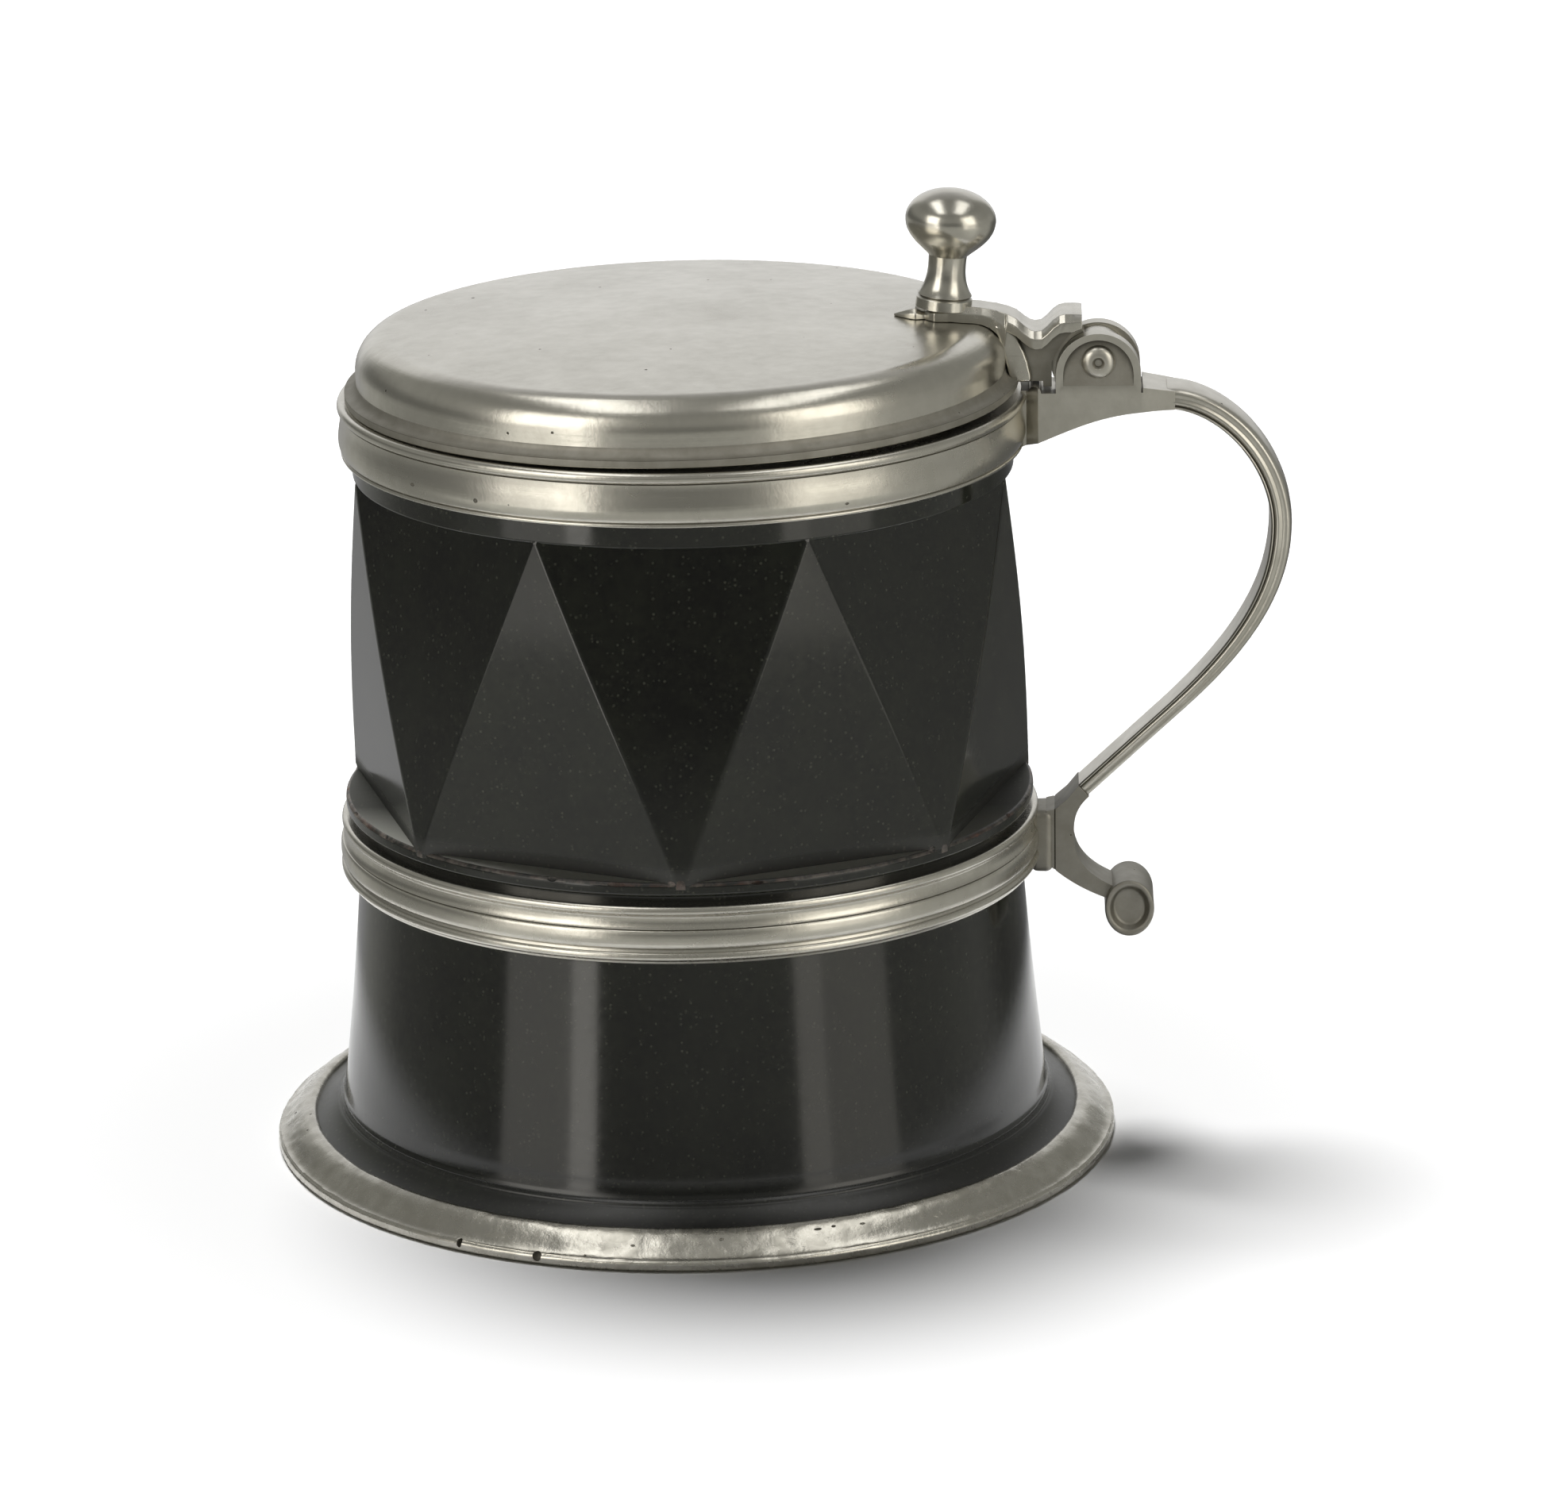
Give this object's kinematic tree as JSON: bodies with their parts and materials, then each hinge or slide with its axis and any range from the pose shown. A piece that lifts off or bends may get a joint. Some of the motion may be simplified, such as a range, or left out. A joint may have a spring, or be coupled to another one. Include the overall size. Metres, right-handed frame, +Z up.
{
  "type": "lidded tankard",
  "caption": "Squat stone tankard with triangular facets, pewter foot, bands and strap handle, and a hinged flat-domed pewter lid lifted by a ball thumbpiece.",
  "frame": {"origin": "middle of the flat underside, on the vessel's turning axis", "axes": "+Z up the turning axis, +X towards the handle and the lid's hinge, +Y across the handle"},
  "size_m": [0.1682, 0.139, 0.1584],
  "materials": {
    "serpentine": "near-black green-grey stone, ground and waxed, with fine pale speckles",
    "pewter": "old turned pewter, satin, with scratches and small dark pits",
    "worn_pewter": "old pewter, mottled and pitted by wear at the foot"
  },
  "bodies": {
    "tankard": {"stone_body": "serpentine", "foot_ring": "worn_pewter", "middle_band": "pewter", "rim_band": "pewter", "hinge_bracket": "pewter", "hinge_cheek_front": "pewter", "hinge_cheek_back": "pewter", "hinge_pin": "pewter", "handle_strap": "pewter", "handle_tail": "pewter", "handle_scroll": "pewter", "band_pad": "pewter"},
    "lid": {"lid_cover": "pewter", "lid_strap": "pewter", "thumbpiece": "pewter"}
  },
  "joints": [
    {"name": "lid_hinge", "type": "hinge", "parent": "tankard", "child": "lid", "pos_m": [0.0673, 0, 0.1311], "axis": [0, 1, 0], "range_deg": [0, 100]}
  ]
}
